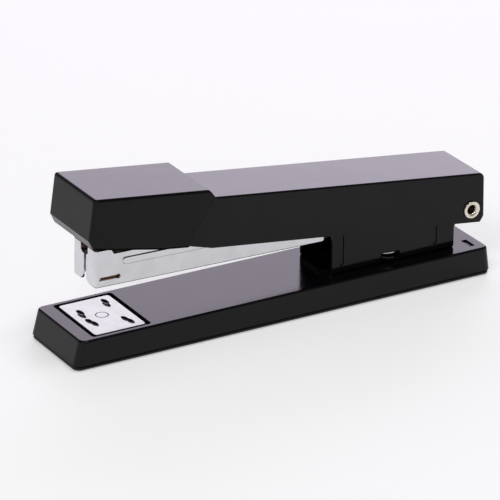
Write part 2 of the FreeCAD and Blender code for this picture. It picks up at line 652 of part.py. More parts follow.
def make_hinge_bracket():
    """The U bracket on the base: two walls with ribs, windows and an ear for the rivet."""
    bracket = Piece("hinge_bracket", base_frame())
    crest = "pivot_z + ear_round"
    hollow = "pivot_z - ear_round"
    side = bracket.outline(
        "XZ",
        [
            ("bracket_front", "base_top"), ("bracket_rear", "base_top"), ("bracket_rear", hollow),
            ("pivot_x + ear_round", hollow), ("pivot_x + ear_round", crest), ("bracket_front", crest),
        ],
    )
    bracket.pad(side, "bracket_width", middle=True)
    ear = size("pivot_x + ear_round")
    bracket.fillet("ear_round * 0.98", lambda edge: along(edge, "y") and near(middle_of(edge), x=ear))
    bracket.fillet(
        "neck_round",
        lambda edge: along(edge, "y") and near(middle_of(edge), x=size("bracket_rear"), z=size(hollow)),
    )
    bracket.fillet(
        "crest_round",
        lambda edge: along(edge, "y") and near(middle_of(edge), x=size("bracket_front"), z=size(crest)),
    )
    for rib in ("rib_front", "rib_rear"):
        for place in ("bracket_width / 2", "-bracket_width / 2"):
            flat = bracket.rectangle(
                "XZ", f"{rib} - rib_width / 2", f"{rib} + rib_width / 2", "rib_foot + rib_width / 2", crest, place,
            )
            bracket.pocket(flat, "2 * rib_deep", middle=True)
            end = bracket.circles("XZ", [(rib, "rib_foot + rib_width / 2")], "rib_width", place)
            bracket.pocket(end, "2 * rib_deep", middle=True)
    inside = "bracket_width / 2 - bracket_sheet"
    reach = "pivot_x + 2 * ear_round"
    space = bracket.rectangle("XY", "0", reach, f"-({inside})", inside, f"{crest} + 1")
    bracket.pocket(space, "pivot_z + ear_round + 1 - base_top - bracket_floor")
    half = "window_length / 2"
    window = bracket.rectangle(
        "XZ", f"window_x - {half}", f"window_x + {half}", "window_foot", "window_foot + window_height",
    )
    bracket.pocket(window, "bracket_width + 2", middle=True)
    bracket.fillet(
        "window_height / 3",
        lambda edge: along(edge, "y") and abs(edge.Length - size("bracket_sheet")) < 0.01
        and abs(middle_of(edge).x - size("window_x")) < size(half) + 0.01,
    )
    tabs = bracket.outline(
        "XY",
        [
            ("bracket_front - bracket_tab", "-bracket_tab_half + bracket_tab"),
            ("bracket_front", "-bracket_tab_half"), ("bracket_rear", "-bracket_tab_half"),
            ("bracket_rear + bracket_tab", "-bracket_tab_half + bracket_tab"),
            ("bracket_rear + bracket_tab", "bracket_tab_half - bracket_tab"),
            ("bracket_rear", "bracket_tab_half"), ("bracket_front", "bracket_tab_half"),
            ("bracket_front - bracket_tab", "bracket_tab_half - bracket_tab"),
        ],
        "base_top",
    )
    bracket.pad(tabs, "bracket_floor")
    holes = bracket.circles("XY", bracket_rivet_places(), "rivet_dia", "base_top + bracket_floor")
    bracket.pocket(holes, "bracket_floor + 1")
    eye = bracket.circles("XZ", [("pivot_x", "pivot_z")], "pin_dia")
    bracket.pocket(eye, "bracket_width + 2", middle=True)
    bracket.fillet("bracket_sheet", lambda edge: lower_long_edge(edge))


def lower_long_edge(edge):
    """True for the bends where the bracket's walls meet the base."""
    half = size("bracket_width / 2")
    long_enough = edge.Length > size("(bracket_rear - bracket_front) / 2")
    return long_enough and along(edge, "x") and near(middle_of(edge), y=half, z=size("base_top"))


def make_bracket_rivets():
    """Four rivets through the bracket's floor and the top of the base."""
    floor = "base_top + bracket_floor"
    under = "base_top - shell_skin"
    turned = [
        ("rivet_head", floor, f"{floor} + rivet_cap"),
        ("rivet_dia", under, floor),
        ("rivet_head", f"{under} - rivet_cap", under),
    ]
    stack("bracket_rivets", turned, bracket_rivet_places(), base_frame())


def make_lift_spring():
    """The conical spring under the magazine, narrower towards its top."""
    slope = math.sin(math.radians(size("rest_magazine")))
    under = size("pivot_z - step_foot") + slope * size("pivot_x - lift_x")
    spring = coil(
        "lift_spring", size("lift_radius"), size("lift_wire"), size("base_top + bracket_floor"), under - 0.15,
        size("lift_turns"), Placement(Vector(size("lift_x"), 0, 0), Rotation()), top_radius=size("lift_radius * 0.72"),
    )
    keep_coil("lift_spring", spring)


def make_hinge_rivet():
    """The hollow rivet that every arm turns on, and its two spacers."""
    rivet = Piece("hinge_rivet", hinge_frame())
    bore, shank, head = "pin_bore / 2", "pin_dia / 2", "pin_head / 2"
    inner = "handle_width / 2 + side_play"
    outer = f"{inner} + pin_head_thick"
    half = [
        (bore, f"{outer} - 0.35"), (f"{bore} + 0.4", outer), (f"{head} - 0.3", outer), (head, f"{outer} - 0.3"),
        (head, inner), (shank, inner),
    ]
    mirrored = [(across, f"-({up})") for across, up in reversed(half)]
    rivet.revolve(rivet.outline("XY", half + mirrored))
    inside = "bracket_width / 2 - bracket_sheet"
    members = []
    for name, side in (("near", -1), ("far", 1)):
        bush = doc.addObject("Part::Cylinder", f"bush_{name}")
        hole = doc.addObject("Part::Cylinder", f"bush_{name}_hole")
        for cylinder, diameter in ((bush, "bush_dia"), (hole, "pin_hole")):
            cylinder.setExpression("Radius", bound(f"{diameter} / 2"))
            cylinder.setExpression("Height", bound(f"{inside} - channel_half - 2 * side_play"))
            start = Vector(0, side * size("channel_half + side_play"), 0)
            cylinder.Placement = Placement(start, Rotation(Vector(0, 0, 1), Vector(0, side, 0)))
        ring = doc.addObject("Part::Cut", f"bush_{name}_ring")
        ring.Base = bush
        ring.Tool = hole
        members.append(ring)
    group = doc.addObject("Part::Compound", "hinge_spacers")
    group.Label = "hinge_spacers"
    group.Links = members
    group.Placement = hinge_frame()
    pieces.append(group)


def make_magazine():
    """The chrome channel that holds the staples, from its nose to the hinge."""
    channel = Piece("magazine_channel", magazine_frame())
    side = channel.outline(
        "XZ",
        [
            ("-nose_reach", "-channel_foot"), ("-step_reach", "-channel_foot"), ("-step_reach", "-step_foot"),
            ("-3 * lug_round", "-step_foot"), ("-1.5 * lug_round", "-lug_round"), ("lug_round", "-lug_round"),
            ("lug_round", "lug_round"), ("0", "lug_round"), ("-2 * lug_round", "channel_top"),
            ("-nose_reach + nose_length + 1", "channel_top"), ("-nose_reach + nose_length", "nose_top"),
            ("-nose_reach", "nose_top"),
        ],
    )
    channel.pad(side, "2 * channel_half", middle=True)
    lug = size("lug_round")
    channel.fillet("lug_round * 0.95", lambda edge: along(edge, "y") and near(middle_of(edge), x=lug))
    channel.fillet(
        "step_round",
        lambda edge: along(edge, "y") and near(middle_of(edge), x=-size("step_reach"), z=-size("channel_foot")),
    )
    bead = channel.rectangle("XZ", "-bead_front + bead_round", "-bead_rear", "bead_foot", "bead_top")
    channel.pad(bead, "2 * channel_half + 2 * bead_proud", middle=True)
    bead_end = channel.circles(
        "XZ", [("-bead_front + bead_round", "(bead_foot + bead_top) / 2")], "bead_top - bead_foot",
    )
    channel.pad(bead_end, "2 * channel_half + 2 * bead_proud", middle=True)
    outer = size("channel_half + bead_proud")
    channel.fillet(
        "bead_proud * 0.8",
        lambda edge: near(middle_of(edge), y=outer) and edge.Length > 2 and middle_of(edge).x < -size("bead_rear") - 1,
    )
    channel.fillet(
        "nose_round",
        lambda edge: upright(edge) and near(middle_of(edge), x=-size("nose_reach"), y=size("channel_half")),
    )
    inner = "channel_half - channel_sheet"
    space = channel.rectangle(
        "XY", "-nose_reach + channel_sheet", "3 * lug_round", f"-({inner})", inner, "nose_top + 1",
    )
    channel.pocket(space, "nose_top + 1 + channel_foot - channel_sheet")
    # the floor behind the step lies higher and ties the two walls together
    floor = channel.rectangle("XY", "-step_reach", "-3 * lug_round", f"-({inner})", inner, "-step_foot")
    channel.pad(floor, "channel_sheet")
    step = channel.rectangle(
        "XZ", "-step_reach - channel_sheet", "-step_reach", "-channel_foot + step_round", "-step_foot + channel_sheet",
    )
    channel.pad(step, f"2 * ({inner})", middle=True)
    exit_hole = channel.rectangle(
        "XY", "-nose_reach + channel_sheet", "-nose_reach + channel_sheet + exit_length", "-exit_half", "exit_half",
    )
    channel.pocket(exit_hole, "channel_foot + 1")
    cut_nose(channel)
    channel.fillet(
        "channel_bend",
        lambda edge: along(edge, "x") and edge.Length > size("step_reach")
        and near(middle_of(edge), y=size("channel_half"), z=-size("channel_foot")),
    )
    sight_low, sight_high = "sight_z - sight_height / 2", "sight_z + sight_height / 2"
    sight = channel.rectangle("XZ", "-sight_front", "-sight_rear", sight_low, sight_high)
    channel.pocket(sight, "2 * channel_half + 2", middle=True)
    channel.pocket(
        channel.circles("XZ", [("-sight_rear", "sight_z")], "1.3 * sight_height"), "2 * channel_half + 2", middle=True,
    )
    channel.pocket(channel.circles("XZ", [("0", "0")], "pin_hole"), "2 * channel_half + 2", middle=True)
    places = [("-core_rivet_front", "0"), ("-core_rivet_rear", "0")]
    channel.pocket(channel.circles("XY", places, "small_rivet_dia"), "channel_foot + 1")


def cut_nose(channel):
    """Parts the nose into two flanges: a gap, a mouth above it, rounded corners below."""
    front = "-nose_reach"
    gap = channel.outline(
        "YZ",
        [
            ("-nose_gap", "-channel_foot - 1"), ("nose_gap", "-channel_foot - 1"), ("nose_gap", "nose_mouth_foot"),
            ("nose_mouth", "nose_mouth_foot + 1"), ("nose_mouth", "nose_top + 1"),
            ("-nose_mouth", "nose_top + 1"), ("-nose_mouth", "nose_mouth_foot + 1"), ("-nose_gap", "nose_mouth_foot"),
        ],
        front,
    )
    channel.pocket(gap, "channel_sheet", reverse=True)
    channel.fillet(
        "nose_notch",
        lambda edge: along(edge, "x") and abs(edge.Length - size("channel_sheet")) < 0.01
        and near(middle_of(edge), y=size("nose_gap"), z=-size("channel_foot")),
    )


def make_staple_rail():
    """The U rail inside the magazine that the staples straddle, and its rivets."""
    rail = Piece("staple_rail", magazine_frame())
    floor = "-channel_foot + channel_sheet"
    behind = "-step_foot + channel_sheet"
    side = rail.outline(
        "XZ",
        [
            ("-core_front", floor), ("-core_step", floor), ("-core_step", behind), ("-core_rear", behind),
            ("-core_rear", "core_top"), ("-core_front", "core_top"),
        ],
    )
    rail.pad(side, "2 * core_half", middle=True)
    rail.fillet(
        "channel_sheet / 2",
        lambda edge: along(edge, "x") and near(middle_of(edge), y=size("core_half"), z=size("core_top")),
    )
    inner = "core_half - channel_sheet"
    space = rail.rectangle("XY", "-core_front + channel_sheet", "0", f"-({inner})", inner, "core_top + 1")
    rail.pocket(space, "core_top + 1 + channel_foot - 2 * channel_sheet")
    rail.pocket(rail.circles("YZ", [("0", "rod_z")], "rod_dia", "-core_front"), "channel_sheet + 1", reverse=True)
    places = [("-core_rivet_front", "0"), ("-core_rivet_rear", "0")]
    rail.pocket(rail.circles("XY", places, "small_rivet_dia"), "channel_foot + 1")
    top = f"{floor} + channel_sheet"
    turned = [
        ("small_rivet_head", top, f"{top} + small_rivet_cap"),
        ("small_rivet_dia", "-channel_foot", top),
        ("small_rivet_head", "-channel_foot - small_rivet_cap", "-channel_foot"),
    ]
    stack("rail_rivets", turned, places, magazine_frame())


def saddle(piece, front, length, top, foot, sheet):
    """An inverted U over the rail, open downwards."""
    across = f"staple_half - {sheet}"
    section = piece.outline(
        "YZ",
        [
            ("-staple_half", foot), ("-staple_half", top), ("staple_half", top), ("staple_half", foot),
            (across, foot), (across, f"{top} - {sheet}"), (f"-({across})", f"{top} - {sheet}"), (f"-({across})", foot),
        ],
        front,
    )
    piece.pad(section, length)


def make_staples():
    """The strip of staples at the front of the rail."""
    strip = Piece("staple_strip", magazine_frame())
    saddle(strip, "-strip_front", "strip_length", "staple_top", "-staple_foot", "staple_wire")
    top = size("staple_top")
    strip.fillet(
        "staple_wire", lambda edge: along(edge, "x") and near(middle_of(edge), y=size("staple_half"), z=top),
    )


def make_pusher():
    """The pusher behind the staples, its rod, its spring and the block that stops them."""
    pusher = Piece("pusher", magazine_frame())
    front = "-strip_front + strip_length"
    saddle(pusher, front, "pusher_length", "pusher_top", "-step_foot + channel_sheet + 0.1", "staple_wire + 0.1")
    middle = f"{front} + pusher_length / 2"
    web = pusher.rectangle("XZ", f"{middle} - web_length / 2", f"{middle} + web_length / 2", "web_foot", "pusher_top")
    pusher.pad(web, "2 * web_half", middle=True)
    bore = pusher.circles("YZ", [("0", "rod_z")], "rod_dia + 0.2", front)
    pusher.pocket(bore, "pusher_length", reverse=True)
    rod = Piece("pusher_rod", magazine_frame())
    rod.pad(rod.circles("YZ", [("0", "rod_z")], "rod_dia", "-core_front"), "core_front - rod_rear")
    block = Piece("rod_block", magazine_frame())
    low = "-step_foot + channel_sheet"
    inner = "core_half - channel_sheet"
    plate = block.rectangle("YZ", f"-({inner})", inner, low, "core_top", "-block_front")
    block.pad(plate, "block_length")
    block.pocket(
        block.circles("YZ", [("0", "rod_z")], "rod_dia", "-block_front"), "block_length", reverse=True,
    )
    wire = size("feed_spring_wire")
    seat = magazine_frame().multiply(Placement(Vector(0, 0, size("rod_z")), Rotation()))
    spring = coil(
        "pusher_spring", (size("feed_spring_dia") - wire) / 2, wire, size(f"{middle} + web_length / 2") + 0.05,
        -size("block_front") - 0.05, size("feed_turns"), seat, direction=Vector(1, 0, 0),
    )
    keep_coil("pusher_spring", spring)


def make_handle():
    """The handle: a sheet channel open downwards, with a rear wall and the hinge holes."""
    handle = Piece("handle_arm", handle_frame())
    side = handle.outline(
        "XZ",
        [
            ("-handle_front", "handle_top"), ("tail_top", "handle_top"), ("tail_back", "-tail_back_z"),
            ("tail_low", "-handle_foot"), ("-cap_apex + foot_step", "-handle_foot"), ("-seam_foot", "-seam_low"),
            ("-seam_foot - tongue_back", "-seam_low + tongue_rise"), ("-handle_front", "tongue_low"),
        ],
    )
    handle.pad(side, "handle_width", middle=True)
    half, top = size("handle_width / 2"), size("handle_top")
    handle.fillet(
        "tail_round",
        lambda edge: along(edge, "y") and near(middle_of(edge), z=top) and middle_of(edge).x > 0,
    )
    handle.fillet("handle_round", lambda edge: along(edge, "x") and near(middle_of(edge), y=half, z=top))
    inner_top = "handle_top - handle_sheet"
    space = handle.outline(
        "XZ",
        [
            ("-handle_front - 1", "-2 * handle_foot"), ("-handle_front - 1", inner_top),
            ("tail_top - tail_sheet - tail_crease", inner_top), ("tail_top - tail_sheet + 0.1", f"{inner_top} - 1"),
            ("tail_back - 1.1 * tail_sheet", "tail_foot"), ("2 * tail_back", "tail_foot"),
            ("2 * tail_back", "-2 * handle_foot"),
        ],
    )
    handle.pocket(space, "handle_width - 2 * handle_sheet", middle=True)
    handle.pocket(handle.circles("XZ", [("0", "0")], "pin_hole"), "handle_width + 2", middle=True)
    holes = [("-driver_rivet_reach", f"{sign}driver_rivet_side") for sign in ("-", "")]
    holes += [("-leaf_rivet_reach", f"{sign}leaf_rivet_side") for sign in ("-", "")]
    handle.pocket(handle.circles("XY", holes, "small_rivet_dia", "handle_top"), "2 * handle_sheet")


def make_cap():
    """The plastic cap over the front of the handle."""
    cap = Piece("head_cap", handle_frame())
    side = cap.outline(
        "XZ",
        [
            ("-cap_front", "cap_top"), ("-cap_crest", "cap_top"), ("-cap_apex", "handle_top + cap_fit"),
            ("-seam_foot", "-seam_low"), ("-belly_rear", "-belly_rear_low"), ("-belly_mid", "-belly_mid_low"),
            ("-belly_front", "-belly_front_low"), ("-cap_front + lip_depth", "-cap_low"),
            ("-cap_front - front_rake", "-cap_low + lip_height"),
        ],
    )
    cap.pad(side, "cap_width", middle=True)
    half, top = size("cap_width / 2"), size("cap_top")
    lip = -size("cap_front - lip_depth")
    cap.chamfer(
        "lip_bevel",
        lambda edge: near(middle_of(edge), y=half) and middle_of(edge).z < -size("cap_low")
        and lip < middle_of(edge).x < -size("seam_foot"),
    )
    cap.fillet(
        "cap_corner",
        lambda edge: near(middle_of(edge), y=half) and middle_of(edge).x < lip and middle_of(edge).z < top - 0.1,
    )
    cap.fillet("cap_round", lambda edge: near(middle_of(edge), z=top))
    seam_x, seam_z = -size("(cap_apex + seam_foot) / 2"), size("(handle_top + cap_fit - seam_low) / 2")
    cap.fillet(
        "seam_round",
        lambda edge: near(middle_of(edge), y=half) and near(middle_of(edge), x=seam_x, z=seam_z, reach=2),
    )
    cavity = cap.rectangle(
        "XZ", "-cap_front + cap_roof", "-cap_apex + cap_roof", "-2 * handle_foot", "handle_top + cap_fit",
    )
    cap.pocket(cavity, "handle_width + 2 * cap_fit", middle=True)
    roof = cap.rectangle(
        "XZ", "-cap_front + cap_roof", "-cap_crest - cap_roof", "handle_top - handle_sheet", "cap_top - cap_roof",
    )
    cap.pocket(roof, "handle_width + 2 * cap_fit", middle=True)


def make_driver():
    """The blade that drives a staple, and the two rivets that hold it under the roof."""
    driver = Piece("driver_blade", handle_frame())
    roof = "handle_top - handle_sheet"
    side = driver.outline(
        "XZ",
        [
            ("-driver_front", "-driver_foot"), ("-driver_front + driver_thick", "-driver_foot"),
            ("-driver_front + driver_thick", f"{roof} - driver_thick"),
            ("-driver_front + driver_tab", f"{roof} - driver_thick"), ("-driver_front + driver_tab", roof),
            ("-driver_front", roof),
        ],
    )
    driver.pad(side, "driver_width", middle=True)
    bend = size(roof)
    driver.fillet(
        "driver_thick",
        lambda edge: along(edge, "y") and near(middle_of(edge), x=-size("driver_front"), z=bend),
    )
    holes = [("-driver_rivet_reach", f"{sign}driver_rivet_side") for sign in ("-", "")]
    driver.pocket(driver.circles("XY", holes, "small_rivet_dia", roof), "2 * driver_thick")
    turned = [
        ("small_rivet_head", "handle_top", "handle_top + small_rivet_cap"),
        ("small_rivet_dia", f"{roof} - driver_thick", "handle_top"),
        ("small_rivet_head", f"{roof} - driver_thick - small_rivet_cap", f"{roof} - driver_thick"),
    ]
    stack("driver_rivets", turned, holes, handle_frame())


def make_leaf():
    """The bent leaf that lifts the handle off the magazine, and its rivets."""
    leaf = Piece("return_leaf", handle_frame())
    roof = "handle_top - handle_sheet"
    side = leaf.outline(
        "XZ",
        [
            ("-leaf_front", roof), ("-leaf_front", f"{roof} - leaf_thick"), ("-leaf_bend", f"{roof} - leaf_thick"),
            ("-leaf_toe - leaf_foot_front", "leaf_low"), ("-leaf_toe + leaf_foot_rear", "leaf_low"),
            ("-leaf_tip", "leaf_low + leaf_tip_rise"), ("-leaf_tip", "leaf_low + leaf_tip_rise + leaf_thick"),
            ("-leaf_toe + leaf_foot_rear", "leaf_low + leaf_thick"),
            ("-leaf_toe - leaf_foot_front", "leaf_low + leaf_thick"), ("-leaf_bend", roof),
        ],
    )
    leaf.pad(side, "leaf_width", middle=True)
    holes = [("-leaf_rivet_reach", f"{sign}leaf_rivet_side") for sign in ("-", "")]
    leaf.pocket(leaf.circles("XY", holes, "small_rivet_dia", roof), "2 * leaf_thick")
    turned = [
        ("small_rivet_head", "handle_top", "handle_top + small_rivet_cap"),
        ("small_rivet_dia", f"{roof} - leaf_thick", "handle_top"),
        ("small_rivet_head", f"{roof} - leaf_thick - small_rivet_cap", f"{roof} - leaf_thick"),
    ]
    stack("leaf_rivets", turned, holes, handle_frame())


def check_document():
    """Stops if any object failed to build or any sub-part has no sound shape."""
    doc.recompute()
    for item in doc.Objects:
        if {"Invalid", "Error"} & set(item.State):
            raise RuntimeError(f"{item.Label} is {item.State}")
    for piece in pieces:
        if piece.Shape.isNull() or not piece.Shape.isValid() or piece.Shape.Volume <= 0:
            raise RuntimeError(f"{piece.Label} has no sound shape")


def export_parts():
    """Writes every sub-part to a STEP file of its own name."""
    os.makedirs("parts", exist_ok=True)
    for piece in pieces:
        piece.Shape.exportStep(os.path.join("parts", piece.Label + ".step"))


fill_sheet()
make_base_shell()
make_bottom_pan()
make_feet()
make_anvil_plate()
make_anvil_fittings()
make_hinge_bracket()
make_bracket_rivets()
make_lift_spring()
make_hinge_rivet()
make_magazine()
make_staple_rail()
make_staples()
make_pusher()
make_handle()
make_cap()
make_driver()
make_leaf()
check_document()
export_parts()
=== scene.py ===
"""Studio scene of a full-strip desk stapler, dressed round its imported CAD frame.

Every CAD node keeps its shape and place and gets a finish here. The staples, the
hollow hinge rivet and the rubber feet are modelled again in finer detail, each in
the place of its CAD node.
"""
import json
import logging
import math
import random
from dataclasses import dataclass, field
from enum import Enum

import bmesh
import bpy
from mathutils import Matrix, Vector


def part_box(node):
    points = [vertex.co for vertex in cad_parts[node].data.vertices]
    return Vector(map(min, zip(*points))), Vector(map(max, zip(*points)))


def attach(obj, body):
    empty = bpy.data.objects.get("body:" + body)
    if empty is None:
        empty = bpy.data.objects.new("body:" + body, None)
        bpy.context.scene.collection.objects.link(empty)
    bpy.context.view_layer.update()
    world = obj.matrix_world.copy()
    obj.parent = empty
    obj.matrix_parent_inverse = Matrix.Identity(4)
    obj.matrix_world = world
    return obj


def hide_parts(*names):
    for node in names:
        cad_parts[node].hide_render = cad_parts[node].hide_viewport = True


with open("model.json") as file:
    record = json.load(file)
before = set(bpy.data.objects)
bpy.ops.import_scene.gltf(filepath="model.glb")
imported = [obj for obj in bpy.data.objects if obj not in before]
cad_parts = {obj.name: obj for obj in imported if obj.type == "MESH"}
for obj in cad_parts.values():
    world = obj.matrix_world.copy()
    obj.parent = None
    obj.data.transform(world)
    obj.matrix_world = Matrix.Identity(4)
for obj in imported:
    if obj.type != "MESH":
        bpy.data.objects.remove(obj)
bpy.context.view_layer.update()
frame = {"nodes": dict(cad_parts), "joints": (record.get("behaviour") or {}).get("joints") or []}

log = logging.getLogger("stapler")

MM = 0.001
PATTERN_PER_MM = 1000.0
MERGE = 1e-7
SAME_MM = 0.001
SMOOTH_BELOW = math.radians(35)


class Coord(Enum):
    """Output of the Texture Coordinate node that a pattern follows."""

    OBJECT = "Object"


class NodeSheet:
    """A material's node tree, with short calls to lay nodes out and join them."""

    def __init__(self, name: str) -> None:
        """Starts an empty material.

        Args:
            name: Name of the material.
        """
        self.material = bpy.data.materials.new(name)
        self.material.use_nodes = True
        self.tree = self.material.node_tree
        self.tree.nodes.clear()
        self.output = self.add("ShaderNodeOutputMaterial")

    def add(self, kind: str, **values: object) -> bpy.types.Node:
        """Adds a node and sets its properties and unlinked inputs.

        Args:
            kind: Blender's name of the node type.
            **values: Properties, or inputs with spaces written as underscores.

        Returns:
            The new node.
        """
        node = self.tree.nodes.new(kind)
        for key, value in values.items():
            label = key.replace("_", " ")
            if hasattr(node, key):
                setattr(node, key, value)
            else:
                node.inputs[label].default_value = value
        return node

    def join(self, source: bpy.types.NodeSocket, target: bpy.types.NodeSocket) -> None:
        """Links one socket to another."""
        self.tree.links.new(source, target)

    def space(self, scale: Vector | tuple[float, float, float] = (1, 1, 1)) -> bpy.types.NodeSocket:
        """Object coordinates in millimetres, stretched along each axis.

        Args:
            scale: Pattern repeats per millimetre along each axis.

        Returns:
            The socket that holds the coordinates.
        """
        place = self.add("ShaderNodeTexCoord")
        mapping = self.add("ShaderNodeMapping", Scale=[PATTERN_PER_MM * each for each in scale])
        self.join(place.outputs[Coord.OBJECT.value], mapping.inputs["Vector"])
        return mapping.outputs["Vector"]

    def noise(self, where: bpy.types.NodeSocket, scale: float, detail: float = 3.0,
              roughness: float = 0.5) -> bpy.types.NodeSocket:
        """A grey noise field.

        Args:
            where: Coordinates that the pattern follows.
            scale: Features per unit of those coordinates.
            detail: Octaves of the noise.
            roughness: Strength of the finer octaves.

        Returns:
            The socket with the noise's factor.
        """
        node = self.add("ShaderNodeTexNoise", Scale=scale, Detail=detail, Roughness=roughness)
        self.join(where, node.inputs["Vector"])
        return node.outputs["Fac"]

    def band(self, source: bpy.types.NodeSocket, low: float, high: float, to_low: float,
             to_high: float) -> bpy.types.NodeSocket:
        """Maps a value from one range to another, clamped.

        Args:
            source: The value.
            low: Value that gives to_low.
            high: Value that gives to_high.
            to_low: Result at the low end.
            to_high: Result at the high end.

        Returns:
            The socket with the mapped value.
        """
        node = self.add(
            "ShaderNodeMapRange", clamp=True, From_Min=low, From_Max=high, To_Min=to_low, To_Max=to_high,
        )
        self.join(source, node.inputs["Value"])
        return node.outputs["Result"]

    def blend(self, factor: bpy.types.NodeSocket, first: tuple | bpy.types.NodeSocket,
              second: tuple | bpy.types.NodeSocket) -> bpy.types.NodeSocket:
        """Mixes two colours.

        Args:
            factor: Share of the second colour.
            first: A colour, or a socket that gives one.
            second: The same for the other colour.

        Returns:
            The socket with the mixed colour.
        """
        node = self.add("ShaderNodeMix", data_type="RGBA")
        self.join(factor, node.inputs["Factor"])
        for socket, colour in ((node.inputs[6], first), (node.inputs[7], second)):
            if isinstance(colour, bpy.types.NodeSocket):
                self.join(colour, socket)
            else:
                socket.default_value = (*colour, 1)
        return node.outputs[2]

    def relief(self, height: bpy.types.NodeSocket, strength: float, depth_mm: float,
               under: bpy.types.NodeSocket | None = None) -> bpy.types.NodeSocket:
        """A bump from a height field.

        Args:
            height: The field, from 0 to 1.
            strength: Share of the bump that shows.
            depth_mm: Depth of the field's full range.
            under: Normal of a coarser relief below this one.

        Returns:
            The socket with the bumped normal.
        """
        node = self.add("ShaderNodeBump", Strength=strength, Distance=depth_mm * MM)
        self.join(height, node.inputs["Height"])
        if under is not None:
            self.join(under, node.inputs["Normal"])
        return node.outputs["Normal"]

    def surface(self, **plain: float | tuple[float, ...]) -> bpy.types.Node:
        """The main shader, joined to the output.

        Args:
            **plain: Inputs that are the same all over, with spaces written as underscores.

        Returns:
            The shader's node.
        """
        shader = self.add("ShaderNodeBsdfPrincipled", **plain)
        self.join(shader.outputs["BSDF"], self.output.inputs["Surface"])
        return shader


@dataclass(frozen=True)
class BlackCoat:
    """A black coat: stoved enamel or moulded plastic, by its grain and gloss."""

    name: str
    base: tuple[float, float, float]
    haze: tuple[float, float, float]
    gloss: tuple[float, float]
    ior: float
    grain_scale: float
    grain_depth_mm: float
    swell_depth_mm: float
    specks: float
    lint: float = 0.10

    def build(self) -> bpy.types.Material:
        """Makes the coat: faint haze, dust specks, fine grain and a slow swell.

        Returns:
            The material.
        """
        sheet = NodeSheet(self.name)
        where = sheet.space()
        shader = sheet.surface(IOR=self.ior)
        cloud = sheet.noise(where, 0.09, detail=5.0, roughness=0.6)
        smear = sheet.noise(sheet.space((0.25, 1.0, 1.0)), 0.35, detail=4.0)
        haze = sheet.blend(sheet.band(cloud, 0.35, 0.75, 0.0, 1.0), self.base, self.haze)
        cells = sheet.add("ShaderNodeTexVoronoi", Scale=0.55, Randomness=1.0)
        sheet.join(where, cells.inputs["Vector"])
        dust = sheet.band(cells.outputs["Distance"], 0.0, 0.075, self.specks, 0.0)
        lint = tuple(self.lint + channel for channel in self.haze)
        sheet.join(sheet.blend(dust, haze, lint), shader.inputs["Base Color"])
        sheet.join(sheet.band(smear, 0.3, 0.75, *self.gloss), shader.inputs["Roughness"])
        swell = sheet.relief(sheet.noise(where, 0.06, detail=1.0), 1.0, self.swell_depth_mm)
        grain = sheet.noise(where, self.grain_scale, detail=2.0)
        sheet.join(sheet.relief(grain, 1.0, self.grain_depth_mm, swell), shader.inputs["Normal"])
        return sheet.material


@dataclass(frozen=True)
class BrightMetal:
    """A plated or drawn metal, by its colour, gloss, brushing and stains."""

    name: str
    colour: tuple[float, float, float]
    stain: tuple[float, float, float]
    gloss: tuple[float, float]
    brushed: tuple[float, float, float]
    brush_depth_mm: float
    swell_depth_mm: float

    def build(self) -> bpy.types.Material:
        """Makes the metal: cloudy tarnish, brush lines and a slightly wavy sheet.

        Returns:
            The material.
        """
        sheet = NodeSheet(self.name)
        where = sheet.space()
        shader = sheet.surface(Metallic=1.0)
        cloud = sheet.noise(where, 0.16, detail=5.0, roughness=0.65)
        tarnish = sheet.band(cloud, 0.42, 0.78, 0.0, 1.0)
        sheet.join(sheet.blend(tarnish, self.colour, self.stain), shader.inputs["Base Color"])
        lines = sheet.noise(sheet.space(self.brushed), 1.0, detail=4.0, roughness=0.7)
        sheet.join(sheet.band(lines, 0.25, 0.8, *self.gloss), shader.inputs["Roughness"])
        swell = sheet.relief(sheet.noise(where, 0.12, detail=1.0), 1.0, self.swell_depth_mm)
        sheet.join(sheet.relief(lines, 1.0, self.brush_depth_mm, swell), shader.inputs["Normal"])
        return sheet.material


@dataclass(frozen=True)
class AnvilPlating:
    """Bright plating on the anvil plate, with painted shade: it turns near black below the plate's top, in
    the grooves and on its sides.
    """

    name: str
    colour: tuple[float, float, float]
    # near-black colour of the painted shade in the grooves and on the plate's sides
    groove_shade: tuple[float, float, float]
    top_z: float
    edge_mm: float = 0.06
    wear: float = 0.86

    def build(self) -> bpy.types.Material:
        """Makes the plating; height below the plate's top gives painted shade in the grooves and on the
        plate's sides.

        Returns:
            The material.
        """
        sheet = NodeSheet(self.name)
        where = sheet.space()
        shader = sheet.surface(Metallic=1.0)
        split = sheet.add("ShaderNodeSeparateXYZ")
        sheet.join(where, split.inputs["Vector"])
        top = self.top_z / MM
        # painted shade: everything more than 0.06 to 0.18 mm below the plate's top darkens to the near-black
        # shade colour
        groove_shade_mask = sheet.band(split.outputs["Z"], top - 3 * self.edge_mm, top - self.edge_mm, 1.0, 0.0)
        cloud = sheet.band(sheet.noise(where, 0.3, detail=5.0), 0.4, 0.8, 0.0, 1.0)
        worn = sheet.blend(cloud, self.colour, tuple(self.wear * channel for channel in self.colour))
        sheet.join(sheet.blend(groove_shade_mask, worn, self.groove_shade), shader.inputs["Base Color"])
        scratch = sheet.noise(sheet.space((0.4, 9.0, 1.0)), 1.0, detail=3.0, roughness=0.75)
        sheet.join(sheet.band(scratch, 0.3, 0.8, 0.14, 0.3), shader.inputs["Roughness"])
        sheet.join(sheet.relief(scratch, 1.0, 0.002), shader.inputs["Normal"])
        return sheet.material


